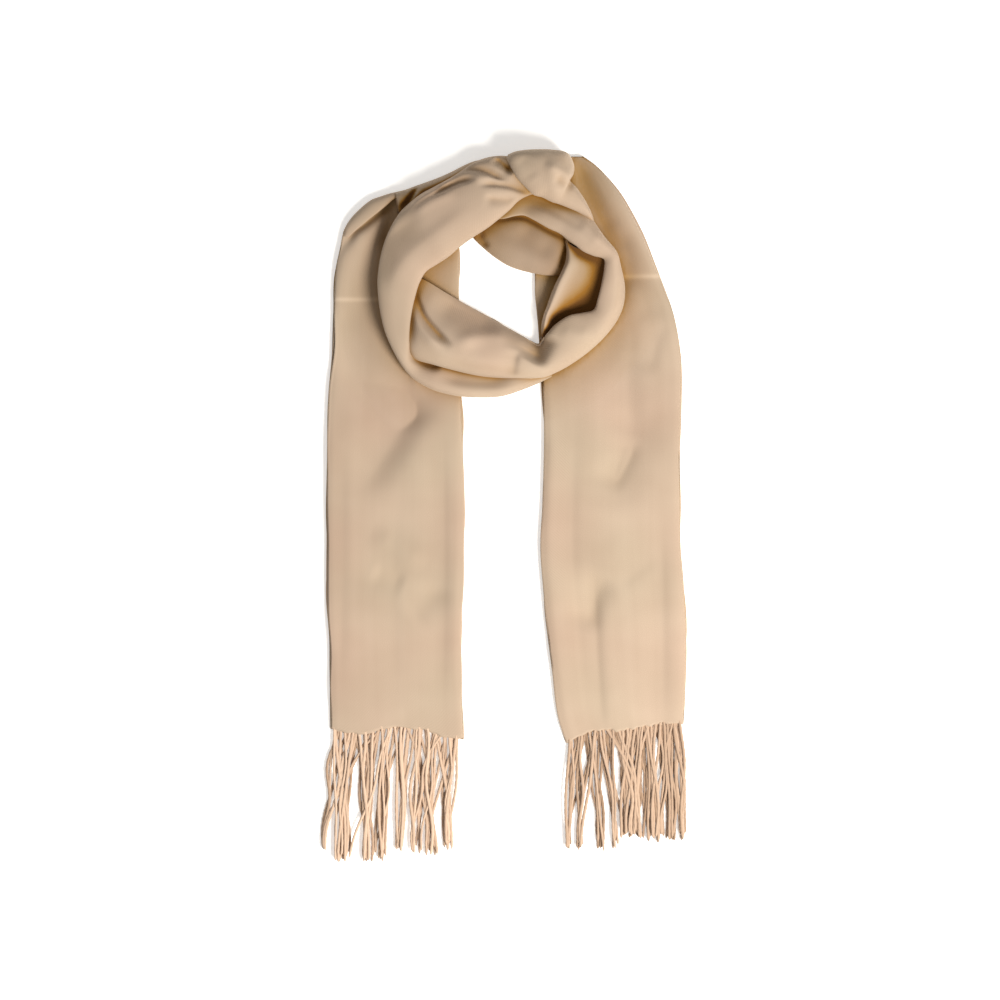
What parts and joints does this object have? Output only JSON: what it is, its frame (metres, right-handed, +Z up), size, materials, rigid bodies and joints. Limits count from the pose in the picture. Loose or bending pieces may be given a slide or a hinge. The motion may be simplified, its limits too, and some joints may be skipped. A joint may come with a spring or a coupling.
{
  "type": "pashmina shawl",
  "caption": "Plain cream shawl with fringed ends, folded lengthwise, wound once into a neck loop over two straight tails and laid flat.",
  "frame": {"origin": "middle of the outline, on the surface that the shawl lies on", "axes": "+X towards the right tail, +Y from the hems towards the neck loop, +Z up out of the surface"},
  "size_m": [0.3413, 0.6598, 0.0486],
  "materials": {
    "cloth": "soft matt wool weave with a light nap",
    "fringe": "twisted wool yarn"
  },
  "bodies": {
    "root": {"tail_left": "cloth", "tail_right": "cloth", "shoulder_fold": "cloth", "nape_stretch": "cloth", "inner_fold": "cloth", "loop_rim": "cloth", "loop_front": "cloth", "loop_left": "cloth", "knuckle": "cloth", "fringe_left": "fringe", "fringe_right": "fringe"}
  },
  "joints": []
}
